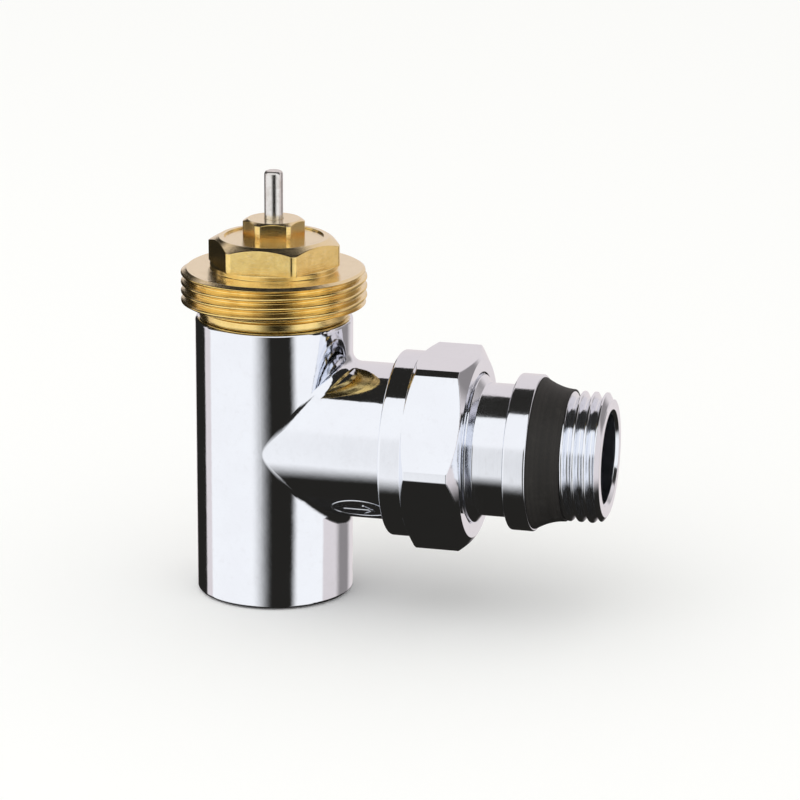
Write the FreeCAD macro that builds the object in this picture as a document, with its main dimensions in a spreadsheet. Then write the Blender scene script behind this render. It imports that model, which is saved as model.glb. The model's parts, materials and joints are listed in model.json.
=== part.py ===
import FreeCAD, Part
import math
import os
import sys

import Sketcher

# Angle radiator valve body, M30 x 1.5 head connection, union tailpiece.
# Frame: origin at the centre of the inlet mouth, +Z up the body, +X out along the branch.

SHEET = "Sizes"

SIZES = {
    # body: heights run from the inlet mouth, and the branch's axis splits them
    "branch_height": 26.06,
    "upper_height": 19.69,
    "body_wall": 1.75,
    "body_edge": 0.5,
    "branch_relief": 0.5705,
    "branch_fillet": 1.6,
    "spigot_end": 30.0,
    "spigot_length": 8.1,
    "spigot_run_in": 0.3,
    # waterway
    "inlet_thread_diameter": 20.955,
    "inlet_land": 0.5,
    "inlet_cone": 1.5,
    "floor_drop": 10.06,
    "floor_thickness": 3.0,
    "orifice_diameter": 10.0,
    "seat_rim_width": 1.2,
    "seat_rim_height": 1.4,
    "chamber_room": 0.1,
    "socket_step": 1.4,
    "socket_spare": 0.5,
    # pipe threads
    "pipe_pitch": 1.814,
    "pipe_thread_depth": 1.1615,
    "union_thread_diameter": 26.441,
    "tail_thread_diameter": 20.955,
    # insert: the brass cartridge that carries the head thread
    "insert_thread_diameter": 22.0,
    "insert_pitch": 1.5,
    "insert_thread_depth": 0.92,
    "insert_thread_reach": 9.75,
    "insert_run_in": 0.5,
    "insert_depth": 11.55,
    "skirt_relief": 0.58,
    "skirt_wall": 3.3,
    "neck_relief": 0.18,
    "neck_height": 1.85,
    "shoulder_inset": 0.65,
    "shoulder_height": 1.55,
    "relief_inset": 0.55,
    "relief_height": 0.75,
    "head_thread_diameter": 30.0,
    "head_thread_pitch": 1.5,
    "head_thread_depth": 0.92,
    "flange_height": 5.75,
    "flange_lead": 0.75,
    "boss_inset": 0.45,
    "boss_height": 0.7,
    "insert_hex": 19.0,
    "insert_face_inset": 0.7,
    "insert_hex_height": 4.4,
    "insert_hex_angle": 2.9,
    "insert_dish_rim": 0.8,
    "insert_dish_depth": 0.3,
    "small_corner_break": 0.22,
    # guide bush and its circlip
    "bush_inset": 1.1,
    "bush_thickness": 1.8,
    "bush_clip_thickness": 0.7,
    "bush_clip_width": 1.0,
    "bush_clip_bite": 0.5,
    # stem and what it carries
    "stem_diameter": 5.0,
    "stem_end_diameter": 3.0,
    "stem_end_spare": 0.3,
    "lift": 3.4,
    "guide_length": 7.1,
    "stem_ring_drop": 1.5,
    "stem_ring_groove": 0.65,
    "stem_ring_room": 1.0,
    "disc_overlap": 0.8,
    "disc_thickness": 2.5,
    "disc_stand_out": 0.8,
    "holder_wall": 0.6,
    "holder_thickness": 1.65,
    "disc_washer_rim": 1.9,
    "disc_washer_thickness": 0.6,
    "disc_nut_hex": 5.0,
    "disc_nut_height": 1.8,
    # return spring
    "spring_wire": 0.8,
    "spring_turns": 5.0,
    "spring_inset": 1.3,
    "spring_plate_inset": 0.6,
    "spring_plate_thickness": 0.8,
    "stem_clip_thickness": 0.7,
    "stem_clip_stand": 1.7,
    "stem_clip_bite": 0.5,
    "clip_wrap_angle": 300.0,
    # gland
    "gland_thread_diameter": 8.0,
    "gland_pitch": 0.75,
    "gland_thread_depth": 0.46,
    "gland_run_in": 0.4,
    "gland_shank_room": 4.0,
    "gland_hex": 9.0,
    "gland_face_inset": 0.3,
    "gland_hex_height": 3.2,
    "gland_hex_angle": 14.0,
    "gland_pocket_room": 1.4,
    "gland_washer_thickness": 0.6,
    "gland_washer_lap": 0.45,
    # pin
    "pin_diameter": 3.0,
    "pin_stand_out": 7.8,
    "pin_tip_round": 0.8,
    "pin_head_stand": 0.8,
    "pin_head_height": 0.8,
    # union nut
    "skirt_lap": 0.9,
    "skirt_length": 3.6,
    "union_skirt_wall": 1.7295,
    "union_hex_wall": 1.6995,
    "union_corner_break": 0.42,
    "union_face_inset": 0.6,
    "union_hex_angle": 1.3,
    "nut_reach": 4.1,
    "union_lip": 2.05,
    "union_edge": 0.4,
    # tailpiece
    "tail_bore": 14.7,
    "tail_nose_wall": 2.05,
    "tail_nose_length": 5.85,
    "collar_step": 1.4005,
    "collar_proud": 0.3,
    "collar_cone": 0.9,
    "neck_step": 1.2,
    "neck_length": 5.2,
    "tail_flange_rise": 0.7,
    "tail_flange_width": 3.7,
    "tail_flange_edge": 0.35,
    "tail_thread_length": 6.25,
    "tail_mouth": 0.5,
    "tail_ring_inset": 3.1,
    "tail_ring_room": 1.7,
    "tail_ring_groove": 1.15,
    "nut_ring_width": 0.9,
    "nut_ring_clear": 0.4,
    "nut_ring_bite": 0.7,
    # rubber seal on the tailpiece
    "seal_length": 5.05,
    "seal_inset": 0.35,
    "seal_lip": 0.1225,
    "seal_seat_relief": 0.016,
    "seal_hollow": 9.0,
    # named clearances
    "running_gap": 0.05,
    "thread_gap": 0.05,
    "ring_gap": 0.02,
    "seat_gap": 0.05,
    "stop_gap": 0.1,
    "groove_gap": 0.05,
    "union_thread_gap": 0.08,
}

COS30 = math.cos(math.radians(30))
TAN30 = math.tan(math.radians(30))


class Size:
    """A number and the expression on the sheet's cells that gives it."""

    def __init__(self, number, text):
        self.number = number
        self.text = text

    def _join(self, other, sign, work, swap=False):
        other = other if isinstance(other, Size) else Size(float(other), repr(float(other)))
        left, right = (other, self) if swap else (self, other)
        return Size(work(left.number, right.number), f"({left.text} {sign} {right.text})")

    def __add__(self, other):
        return self._join(other, "+", lambda a, b: a + b)

    def __radd__(self, other):
        return self._join(other, "+", lambda a, b: a + b, swap=True)

    def __sub__(self, other):
        return self._join(other, "-", lambda a, b: a - b)

    def __rsub__(self, other):
        return self._join(other, "-", lambda a, b: a - b, swap=True)

    def __mul__(self, other):
        return self._join(other, "*", lambda a, b: a * b)

    def __rmul__(self, other):
        return self._join(other, "*", lambda a, b: a * b, swap=True)

    def __truediv__(self, other):
        return self._join(other, "/", lambda a, b: a / b)

    def up_to(self, other):
        """This size, limited by another."""
        return Size(min(self.number, other.number), f"min({self.text}; {other.text})")


class Sheet:
    """The sizes by name: sheet.branch_height is the cell's Size, and the rest follow from cells."""

    def __init__(self, doc):
        page = doc.addObject("Spreadsheet::Sheet", SHEET)
        for row, (alias, number) in enumerate(SIZES.items(), start=1):
            page.set(f"A{row}", alias)
            page.set(f"B{row}", str(number))
            page.setAlias(f"B{row}", alias)
        doc.recompute()
        for alias in SIZES:
            setattr(self, alias, Size(float(page.get(alias)), f"{SHEET}.{alias}"))
        self.derive_radii()
        self.derive_heights()
        self.derive_branch_places()

    def derive_radii(self):
        """Radii that follow from a thread, a bore or a wall."""
        self.body_radius = self.insert_thread_diameter / 2 + self.body_wall
        self.union_crest = self.union_thread_diameter / 2
        self.branch_radius = self.union_crest - self.branch_relief
        self.orifice_radius = self.orifice_diameter / 2
        self.seat_radius = self.orifice_radius + self.seat_rim_width
        self.insert_crest = self.insert_thread_diameter / 2
        self.insert_root = self.insert_crest - self.insert_thread_depth
        self.skirt_radius = self.insert_root - self.skirt_relief
        self.neck_radius = self.insert_root - self.neck_relief
        self.shoulder_radius = self.body_radius - self.shoulder_inset
        self.spring_room_radius = self.skirt_radius - self.skirt_wall
        self.plate_radius = self.spring_room_radius - self.spring_plate_inset
        self.stem_radius = self.stem_diameter / 2
        self.guide_radius = self.stem_radius + self.running_gap
        self.stem_end_radius = self.stem_end_diameter / 2
        self.stem_end_bore = self.stem_end_radius + self.ring_gap
        self.pin_radius = self.pin_diameter / 2
        self.pin_bore = self.pin_radius + self.running_gap
        self.gland_crest = self.gland_thread_diameter / 2
        self.gland_root = self.gland_crest - self.gland_thread_depth
        self.gland_pocket = self.pin_radius + self.gland_pocket_room
        self.gland_section = (self.gland_pocket_room - self.ring_gap * 2.0) / 2
        self.nut_bore = self.union_crest + self.union_thread_gap
        self.nut_skirt = self.nut_bore + self.union_skirt_wall
        self.union_hex = (self.nut_bore + self.union_hex_wall) * 2.0
        self.tail_bore_radius = self.tail_bore / 2
        self.nose_radius = self.tail_bore_radius + self.tail_nose_wall
        self.socket_radius = self.nose_radius + self.running_gap
        self.collar_radius = self.nut_bore - self.collar_step
        self.neck_of_tail = self.collar_radius - self.neck_step
        self.flange_radius = self.collar_radius + self.tail_flange_rise
        self.tail_crest = self.tail_thread_diameter / 2
        self.tail_root = self.tail_crest - self.pipe_thread_depth
        self.seal_seat = self.tail_root - self.seal_seat_relief

    def derive_heights(self):
        """Heights up the body's axis: the insert hangs from the body's top."""
        self.body_height = self.branch_height + self.upper_height
        self.floor_height = self.branch_height - self.floor_drop
        self.inlet_end = self.floor_height - self.floor_thickness
        self.seat_height = self.floor_height + self.seat_rim_height
        self.insert_bottom = self.body_height - self.insert_depth
        self.insert_thread_low = self.body_height - self.insert_thread_reach
        self.neck_low = self.body_height - self.neck_height
        self.shoulder_top = self.body_height + self.shoulder_height
        self.flange_low = self.shoulder_top + self.relief_height
        self.flange_top = self.flange_low + self.flange_height
        self.boss_top = self.flange_top + self.boss_height
        self.hex_top = self.boss_top + self.insert_hex_height
        self.gland_seat = self.hex_top - self.insert_dish_depth
        self.gland_top = self.gland_seat + self.gland_hex_height
        self.gland_floor = self.gland_seat - self.gland_shank_room
        self.gland_washer_top = self.gland_floor + self.gland_washer_thickness
        self.gland_low = self.gland_washer_top + self.groove_gap
        self.gland_pocket_top = self.gland_low + self.gland_section * 4.0 + self.ring_gap * 4.0
        self.spring_room_top = self.gland_floor - self.guide_length
        self.bush_low = self.insert_bottom + self.bush_inset
        self.bush_high = self.bush_low + self.bush_thickness
        self.clip_high = self.spring_room_top - self.stop_gap
        self.clip_low = self.clip_high - self.stem_clip_thickness
        self.plate_high = self.clip_low - self.groove_gap
        self.plate_low = self.plate_high - self.spring_plate_thickness
        self.pin_head_top = self.gland_floor - self.stop_gap
        self.stem_top = self.pin_head_top - self.pin_head_height
        self.stem_ring_height = self.stem_top - self.stem_ring_drop
        self.disc_face = self.seat_height + self.lift + self.seat_gap
        self.disc_top = self.disc_face + self.disc_thickness
        self.stem_shoulder = self.disc_top + self.holder_thickness
        self.disc_washer_low = self.disc_face - self.disc_washer_thickness
        self.disc_nut_low = self.disc_washer_low - self.disc_nut_height
        self.pin_top = self.gland_top + self.pin_stand_out

    def derive_branch_places(self):
        """Places along the branch's axis, from the end of the spigot."""
        self.branch_length = self.spigot_end - self.spigot_length
        self.nose_end = self.spigot_end + self.seat_gap
        self.nose_start = self.nose_end - self.tail_nose_length
        self.socket_start = self.nose_start - self.socket_spare
        self.nut_start = self.branch_length - self.skirt_lap
        self.nut_hex_start = self.nut_start + self.skirt_length
        self.nut_end = self.spigot_end + self.nut_reach
        self.lip_start = self.nut_end - self.union_lip
        self.nut_ring_high = self.lip_start - self.stop_gap
        self.nut_ring_low = self.nut_ring_high - self.nut_ring_width
        self.collar_end = self.nut_end + self.collar_proud
        self.neck_start = self.collar_end + self.collar_cone
        self.flange_start = self.neck_start + self.neck_length
        self.flange_end = self.flange_start + self.tail_flange_width
        self.tail_thread_start = self.flange_end + self.seal_length
        self.seal_end = self.tail_thread_start - self.groove_gap
        self.tail_end = self.tail_thread_start + self.tail_thread_length
        self.tail_ring_place = self.nose_start + self.tail_ring_inset


def zero(amount):
    return not isinstance(amount, Size) and amount == 0


def number(amount):
    return amount.number if isinstance(amount, Size) else float(amount)


def plane(body, role):
    return next(o for o in body.Origin.OriginFeatures if o.Role == role)


def new_sketch(body, name, role, offset=None):
    sketch = body.newObject("Sketcher::SketchObject", name)
    sketch.AttachmentSupport = [(plane(body, role), "")]
    sketch.MapMode = "FlatFace"
    if offset is not None:
        sketch.setExpression("AttachmentOffset.Base.z", offset.text)
    return sketch


def pin_down(sketch, edge, end, across, up):
    """Fix one sketch point by two dimensions from the origin, each bound to the sheet."""
    for kind, amount, axis in (("DistanceX", across, -2), ("DistanceY", up, -1)):
        if zero(amount):
            sketch.addConstraint(Sketcher.Constraint("PointOnObject", edge, end, axis))
            continue
        index = sketch.addConstraint(Sketcher.Constraint(kind, -1, 1, edge, end, number(amount)))
        sketch.setExpression(f"Constraints[{index}]", amount.text)


def arc_between(start, end, radius, left):
    """The minor arc from start to end; left says that its centre is on the left of the way."""
    chord = end - start
    half = chord.Length / 2
    normal = FreeCAD.Vector(-chord.y, chord.x, 0).normalize() * (1 if left else -1)
    centre = start + chord / 2 + normal * math.sqrt(radius**2 - half**2)
    first, last = (start, end) if left else (end, start)
    angles = [math.atan2(p.y - centre.y, p.x - centre.x) for p in (first, last)]
    return Part.ArcOfCircle(Part.Circle(centre, FreeCAD.Vector(0, 0, 1), radius), *angles)


def outline(sketch, points):
    """A closed outline. A point is (across, up) or (across, up, radius, left) before an arc."""
    places = [FreeCAD.Vector(number(p[0]), number(p[1]), 0) for p in points]
    ends = []
    for index, point in enumerate(points):
        here, there = places[index], places[(index + 1) % len(points)]
        if len(point) == 2:
            sketch.addGeometry(Part.LineSegment(here, there))
            ends.append((1, 2))
            continue
        radius, left = point[2:]
        sketch.addGeometry(arc_between(here, there, number(radius), left))
        ends.append((1, 2) if left else (2, 1))
        bend = sketch.addConstraint(Sketcher.Constraint("Radius", index, number(radius)))
        sketch.setExpression(f"Constraints[{bend}]", radius.text)
    for index, point in enumerate(points):
        following = (index + 1) % len(points)
        sketch.addConstraint(
            Sketcher.Constraint("Coincident", index, ends[index][1], following, ends[following][0])
        )
        pin_down(sketch, index, ends[index][0], point[0], point[1])


def turn(body, name, points, kind="PartDesign::Revolution", height=None, angle=None):
    """Turn an outline of (radius, z) about the body's axis.

    With a height, the outline is (x, radius) and turns about the branch's axis at that height.
    """
    sketch = new_sketch(body, name + "_profile", "XZ_Plane")
    axis = "V_Axis"
    if height is not None:
        points = [(p[0], height + p[1] if not zero(p[1]) else height, *p[2:]) for p in points]
    outline(sketch, points)
    if height is not None:
        last = sketch.addGeometry(
            Part.LineSegment(
                FreeCAD.Vector(0, height.number, 0), FreeCAD.Vector(10, height.number, 0)
            ),
            True,
        )
        sketch.addConstraint(Sketcher.Constraint("Horizontal", last))
        sketch.addConstraint(Sketcher.Constraint("PointOnObject", last, 1, -2))
        rise = sketch.addConstraint(
            Sketcher.Constraint("DistanceY", -1, 1, last, 1, height.number)
        )
        sketch.setExpression(f"Constraints[{rise}]", height.text)
        axis = "Axis0"
    feature = body.newObject(kind, name)
    feature.Profile = sketch
    feature.ReferenceAxis = (sketch, [axis])
    feature.Angle = 360
    if angle is not None:
        feature.setExpression("Angle", angle.text)
    return feature


def groove(body, name, points, height=None):
    return turn(body, name, points, kind="PartDesign::Groove", height=height)


def hexagon(body, name, across, start, length, angle, height=None):
    """Pad a hexagon upward from z = start, or along the branch when a height is given."""
    role = "XY_Plane" if height is None else "YZ_Plane"
    sketch = new_sketch(body, name + "_profile", role, start)
    corner = across / 2 / COS30
    points = []
    for side in range(6):
        heading = angle + 60.0 * side
        radians = math.radians(heading.number)
        away = corner * Size(math.cos(radians), f"cos({heading.text} * 1deg)")
        up = corner * Size(math.sin(radians), f"sin({heading.text} * 1deg)")
        points.append((away, up if height is None else height + up))
    outline(sketch, points)
    feature = body.newObject("PartDesign::Pad", name)
    feature.Profile = sketch
    feature.Length = number(length)
    feature.setExpression("Length", length.text)
    return feature


def thread(root, crest, start, pitch, turns, flank, land):
    """Ridges of a thread as (radius, distance) points: each has two flanks and a flat crest."""
    points = []
    for index in range(turns):
        foot = start + pitch * float(index)
        points += [
            (root, foot),
            (crest, foot + pitch * flank),
            (crest, foot + pitch * (flank + land)),
            (root, foot + pitch * (2 * flank + land)),
        ]
    return points


METRIC = {"flank": 0.354, "land": 0.125}
PIPE = {"flank": 0.3333, "land": 0.1667}


def flip(points):
    """(radius, distance) points as the (distance, radius) that the branch's outlines use."""
    return [(p[1], p[0], *p[2:]) for p in points]


def rim(outer, inner, low, high):
    """A plain ring's outline as (radius, distance) points."""
    return [(inner, low), (outer, low), (outer, high), (inner, high)]


def new_body(doc, label):
    body = doc.addObject("PartDesign::Body", label)
    body.Label = label
    return body


def ring_seal(doc, label, centre_radius, section_radius, place, height=None):
    """An O-ring: a torus about the body's axis, or about the branch when a height is given."""
    seal = doc.addObject("Part::Torus", label)
    seal.Label = label
    seal.setExpression("Radius1", centre_radius.text)
    seal.setExpression("Radius2", section_radius.text)
    if height is None:
        seal.setExpression("Placement.Base.z", place.text)
    else:
        seal.Placement.Rotation = FreeCAD.Rotation(FreeCAD.Vector(0, 1, 0), 90)
        seal.setExpression("Placement.Base.x", place.text)
        seal.setExpression("Placement.Base.z", height.text)
    return seal


def meeting_edges(shape, size):
    """The edges where the branch's outside wall runs into the body's outside wall."""
    walls = (size.body_radius.number, size.branch_radius.number)
    names = []
    for index, edge in enumerate(shape.Edges, start=1):
        radii = [
            face.Surface.Radius
            for face in shape.ancestorsOfType(edge, Part.Face)
            if isinstance(face.Surface, Part.Cylinder)
        ]
        if all(any(abs(radius - wall) < 1e-6 for radius in radii) for wall in walls):
            names.append(f"Edge{index}")
    return names


def whole_turns(room, pitch):
    return int(room.number / pitch.number + 1e-6)


def insert_thread(size, gap):
    """The thread between insert and body, grown outward by gap for the body's side."""
    start = size.insert_thread_low + size.insert_run_in
    turns = whole_turns(size.neck_low - start, size.insert_pitch)
    root, crest = size.insert_root + gap, size.insert_crest + gap
    return thread(root, crest, start, size.insert_pitch, turns, **METRIC)


def gland_thread(size, gap):
    """The thread between gland nut and insert, grown outward by gap for the insert's side."""
    start = size.gland_low + size.gland_run_in
    turns = whole_turns(size.gland_seat - start, size.gland_pitch)
    root, crest = size.gland_root + gap, size.gland_crest + gap
    return thread(root, crest, start, size.gland_pitch, turns, **METRIC)


def valve_body(doc, size):
    """Forged and chromed brass: a vertical barrel with the seat in it and a side branch."""
    body = new_body(doc, "valve_body")
    radius, edge = size.body_radius, size.body_edge
    turn(body, "barrel", [
        (0, 0),
        (radius - edge, 0, edge, True),
        (radius, edge),
        (radius, size.body_height - edge, edge, True),
        (radius - edge, size.body_height),
        (0, size.body_height),
    ])
    root = size.union_crest - size.pipe_thread_depth
    start = size.branch_length + size.spigot_run_in
    turns = whole_turns(size.spigot_end - start, size.pipe_pitch)
    turn(body, "branch", [
        (0, 0),
        (0, size.branch_radius),
        (size.branch_length, size.branch_radius),
        *flip(thread(root, size.union_crest, start, size.pipe_pitch, turns, **PIPE)),
        (size.spigot_end, root),
        (size.spigot_end, 0),
    ], height=size.branch_height)
    doc.recompute()
    outside = body.Tip
    fillet = body.newObject("PartDesign::Fillet", "branch_blend")
    fillet.Base = (outside, meeting_edges(outside.Shape, size))
    fillet.setExpression("Radius", size.branch_fillet.text)

    inlet_root = size.inlet_thread_diameter / 2
    inlet_crest = inlet_root - size.pipe_thread_depth
    inlet_turns = whole_turns(size.inlet_end - size.inlet_land, size.pipe_pitch)
    chamber = size.skirt_radius + size.chamber_room
    ring_room = size.insert_crest + size.thread_gap + size.ring_gap
    groove(body, "waterway", [
        (0, 0),
        (inlet_crest, 0),
        *thread(inlet_crest, inlet_root, size.inlet_land, size.pipe_pitch, inlet_turns, **PIPE),
        (inlet_crest, size.inlet_end),
        (size.orifice_radius, size.inlet_end + size.inlet_cone),
        (size.orifice_radius, size.seat_height),
        (size.seat_radius, size.seat_height),
        (size.seat_radius, size.floor_height),
        (chamber, size.floor_height),
        (chamber, size.insert_thread_low),
        *insert_thread(size, size.thread_gap),
        (size.insert_root + size.thread_gap, size.neck_low),
        (ring_room, size.neck_low),
        (ring_room, size.body_height),
        (0, size.body_height),
    ])
    way = size.nose_radius - size.socket_step
    groove(body, "branch_way", [
        (0, 0),
        (0, way),
        (size.socket_start, way),
        (size.socket_start, size.socket_radius),
        (size.spigot_end, size.socket_radius),
        (size.spigot_end, 0),
    ], height=size.branch_height)


def hex_trim(body, name, across, corner_break, face_inset, start, end):
    """Bevel a hexagon's corners and chamfer its top face at 30 degrees."""
    corner = across / 2 / COS30 - corner_break
    face = across / 2 - face_inset
    groove(body, name, [
        (corner, start),
        (corner, end - (corner - face) * TAN30),
        (face, end),
        (across, end),
        (across, start),
    ])


def valve_insert(doc, size):
    """Turned brass cartridge: body thread below, head thread and spanner hexagon above."""
    body = new_body(doc, "valve_insert")
    bead = size.shoulder_height / 2
    shoulder = size.shoulder_radius
    relief = shoulder - size.relief_inset
    head = size.head_thread_diameter / 2
    head_root = head - size.head_thread_depth
    pitch = size.head_thread_pitch
    turns = whole_turns(size.flange_height - size.flange_lead, pitch)
    last = size.flange_low + pitch * float(turns)
    corner = size.insert_hex / 2 / COS30 - size.small_corner_break
    boss = corner - size.boss_inset
    turn(body, "blank", [
        (0, size.insert_bottom),
        (size.skirt_radius, size.insert_bottom),
        (size.skirt_radius, size.insert_thread_low),
        *insert_thread(size, 0.0),
        (size.neck_radius, size.neck_low),
        (size.neck_radius, size.body_height),
        (shoulder - bead, size.body_height, bead, True),
        (shoulder, size.body_height + bead, bead, True),
        (shoulder - bead, size.shoulder_top),
        (relief, size.shoulder_top),
        (relief, size.flange_low),
        *thread(head_root, head, size.flange_low, pitch, turns, **METRIC),
        (head_root, last),
        (head, last + pitch * METRIC["flank"]),
        (head, size.flange_top - size.flange_lead * TAN30),
        (head - size.flange_lead, size.flange_top),
        (boss, size.flange_top),
        (boss, size.boss_top),
        (0, size.boss_top),
    ])
    hexagon(body, "spanner_hexagon", size.insert_hex, size.boss_top, size.insert_hex_height,
            size.insert_hex_angle)
    hex_trim(body, "hexagon_trim", size.insert_hex, size.small_corner_break,
             size.insert_face_inset, size.boss_top, size.hex_top)
    room = size.spring_room_radius
    clip_low = size.bush_low - size.bush_clip_thickness - size.groove_gap
    gland_root = size.gland_root + size.thread_gap
    dish = size.insert_hex / 2 - size.insert_face_inset - size.insert_dish_rim
    groove(body, "stem_way", [
        (0, size.insert_bottom),
        (room, size.insert_bottom),
        (room, clip_low),
        (room + size.bush_clip_bite, clip_low),
        (room + size.bush_clip_bite, size.bush_low),
        (room, size.bush_low),
        (room, size.spring_room_top),
        (size.guide_radius, size.spring_room_top),
        (size.guide_radius, size.gland_floor),
        (gland_root, size.gland_floor),
        *gland_thread(size, size.thread_gap),
        (gland_root, size.gland_seat),
        (dish, size.gland_seat),
        (dish, size.hex_top),
        (0, size.hex_top),
    ])


def insert_seal(doc, size):
    """O-ring under the insert's shoulder, in the counterbore at the body's top."""
    inner = size.neck_radius + size.ring_gap
    outer = size.insert_crest + size.thread_gap
    section = (outer - inner) / 2
    place = size.body_height - section - size.ring_gap
    ring_seal(doc, "insert_o_ring", (outer + inner) / 2, section, place)


def gland_nut(doc, size):
    """Brass nut that closes the gland round the pin."""
    body = new_body(doc, "gland_nut")
    turn(body, "shank", [
        (0, size.gland_low),
        (size.gland_root, size.gland_low),
        *gland_thread(size, 0.0),
        (size.gland_root, size.gland_seat),
        (0, size.gland_seat),
    ])
    hexagon(body, "spanner_hexagon", size.gland_hex, size.gland_seat, size.gland_hex_height,
            size.gland_hex_angle)
    hex_trim(body, "hexagon_trim", size.gland_hex, size.small_corner_break,
             size.gland_face_inset, size.gland_seat, size.gland_top)
    groove(body, "pin_way", [
        (0, size.gland_low),
        (size.gland_pocket, size.gland_low),
        (size.gland_pocket, size.gland_pocket_top),
        (size.pin_bore, size.gland_pocket_top),
        (size.pin_bore, size.gland_top),
        (0, size.gland_top),
    ])


def gland_seals(doc, size):
    """Washer on the insert's floor and two O-rings above it, round the pin."""
    washer = new_body(doc, "gland_washer")
    washer_radius = size.guide_radius + size.gland_washer_lap
    turn(washer, "disc", rim(washer_radius, size.pin_bore, size.gland_floor,
                             size.gland_washer_top))
    section = size.gland_section
    low = size.gland_low + size.ring_gap + section
    middle = size.pin_radius + size.ring_gap + section
    ring_seal(doc, "gland_o_ring_lower", middle, section, low)
    ring_seal(doc, "gland_o_ring_upper", middle, section, low + section * 2.0 + size.ring_gap)


def spindle_pin(doc, size):
    """Stainless pin that the thermostatic head presses; its head stays under the gland."""
    body = new_body(doc, "spindle_pin")
    radius, tip = size.pin_radius, size.pin_tip_round
    turn(body, "pin", [
        (0, size.stem_top),
        (radius + size.pin_head_stand, size.stem_top),
        (radius + size.pin_head_stand, size.pin_head_top),
        (radius, size.pin_head_top),
        (radius, size.pin_top - tip, tip, True),
        (radius - tip, size.pin_top),
        (0, size.pin_top),
    ])


def valve_stem(doc, size):
    """Brass stem: thin end for the disc, clip groove, seal groove."""
    body = new_body(doc, "valve_stem")
    radius, end = size.stem_radius, size.stem_end_radius
    low = size.disc_nut_low - size.stem_end_spare
    clip_low = size.clip_low - size.groove_gap
    clip_root = radius - size.stem_clip_bite
    ring_root = radius - size.stem_ring_groove
    ring_low = size.stem_ring_height - size.stem_ring_room / 2
    ring_high = size.stem_ring_height + size.stem_ring_room / 2
    turn(body, "stem", [
        (0, low),
        (end, low),
        (end, size.stem_shoulder),
        (radius, size.stem_shoulder),
        (radius, clip_low),
        (clip_root, clip_low),
        (clip_root, size.clip_high),
        (radius, size.clip_high),
        (radius, ring_low),
        (ring_root, ring_low),
        (ring_root, ring_high),
        (radius, ring_high),
        (radius, size.stem_top),
        (0, size.stem_top),
    ])
    inner = ring_root + size.ring_gap
    outer = size.guide_radius - size.ring_gap
    ring_seal(doc, "stem_o_ring", (outer + inner) / 2, (outer - inner) / 2, size.stem_ring_height)


def split_ring(doc, label, points, size, height=None):
    """A ring with a gap in it, so that it can be sprung into its groove."""
    body = new_body(doc, label)
    turn(body, "ring", points, height=height, angle=size.clip_wrap_angle)


def stem_parts(doc, size):
    """Clip and plate that the spring pushes up, guide bush and its circlip."""
    clip_bore = size.stem_radius - size.stem_clip_bite + size.ring_gap
    clip_radius = size.stem_radius + size.stem_clip_stand
    split_ring(doc, "stem_clip", rim(clip_radius, clip_bore, size.clip_low, size.clip_high), size)
    plate = new_body(doc, "spring_plate")
    turn(plate, "disc", rim(size.plate_radius, size.guide_radius, size.plate_low,
                            size.plate_high))
    bush = new_body(doc, "guide_bush")
    bush_radius = size.spring_room_radius - size.ring_gap
    turn(bush, "disc", rim(bush_radius, size.guide_radius, size.bush_low, size.bush_high))
    circlip_radius = size.spring_room_radius + size.bush_clip_bite - size.ring_gap
    circlip_bore = size.spring_room_radius - size.bush_clip_width
    circlip_low = size.bush_low - size.bush_clip_thickness
    split_ring(doc, "bush_circlip", rim(circlip_radius, circlip_bore, circlip_low, size.bush_low),
               size)


def return_spring(doc, size):
    """Steel wire coiled between the guide bush and the spring plate."""
    wire = size.spring_wire / 2
    coil_radius = size.plate_radius - size.spring_inset
    low = size.bush_high + wire + size.ring_gap
    high = size.plate_low - wire - size.ring_gap
    coil = doc.addObject("Part::Helix", "spring_line")
    coil.setExpression("Radius", coil_radius.text)
    coil.setExpression("Height", (high - low).text)
    coil.setExpression("Pitch", ((high - low) / size.spring_turns).text)
    coil.setExpression("Placement.Base.z", low.text)
    section = doc.addObject("Part::Circle", "spring_section")
    section.setExpression("Radius", wire.text)
    section.Placement.Rotation = FreeCAD.Rotation(FreeCAD.Vector(1, 0, 0), 90)
    section.setExpression("Placement.Base.x", coil_radius.text)
    section.setExpression("Placement.Base.z", low.text)
    spring = doc.addObject("Part::Sweep", "return_spring")
    spring.Label = "return_spring"
    spring.Sections = [section]
    spring.Spine = (coil, ["Edge1"])
    spring.Solid = True
    spring.Frenet = True


def valve_disc(doc, size):
    """Rubber disc in its brass cup, with the washer and nut at the stem's lower end."""
    bore = size.stem_end_bore
    radius = size.seat_radius + size.disc_overlap
    disc = new_body(doc, "sealing_disc")
    turn(disc, "disc", rim(radius, bore, size.disc_face, size.disc_top))
    holder = new_body(doc, "disc_holder")
    inner = radius + size.ring_gap
    outer = inner + size.holder_wall
    turn(holder, "cup", [
        (bore, size.disc_top),
        (inner, size.disc_top),
        (inner, size.disc_face + size.disc_stand_out),
        (outer, size.disc_face + size.disc_stand_out),
        (outer, size.stem_shoulder),
        (bore, size.stem_shoulder),
    ])
    washer = new_body(doc, "disc_washer")
    washer_radius = size.stem_end_radius + size.disc_washer_rim
    turn(washer, "disc", rim(washer_radius, bore, size.disc_washer_low, size.disc_face))
    nut = new_body(doc, "disc_nut")
    hexagon(nut, "hexagon", size.disc_nut_hex, size.disc_nut_low, size.disc_nut_height,
            size.gland_hex_angle)
    groove(nut, "bore", [
        (0, size.disc_nut_low),
        (bore, size.disc_nut_low),
        (bore, size.disc_washer_low),
        (0, size.disc_washer_low),
    ])


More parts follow.
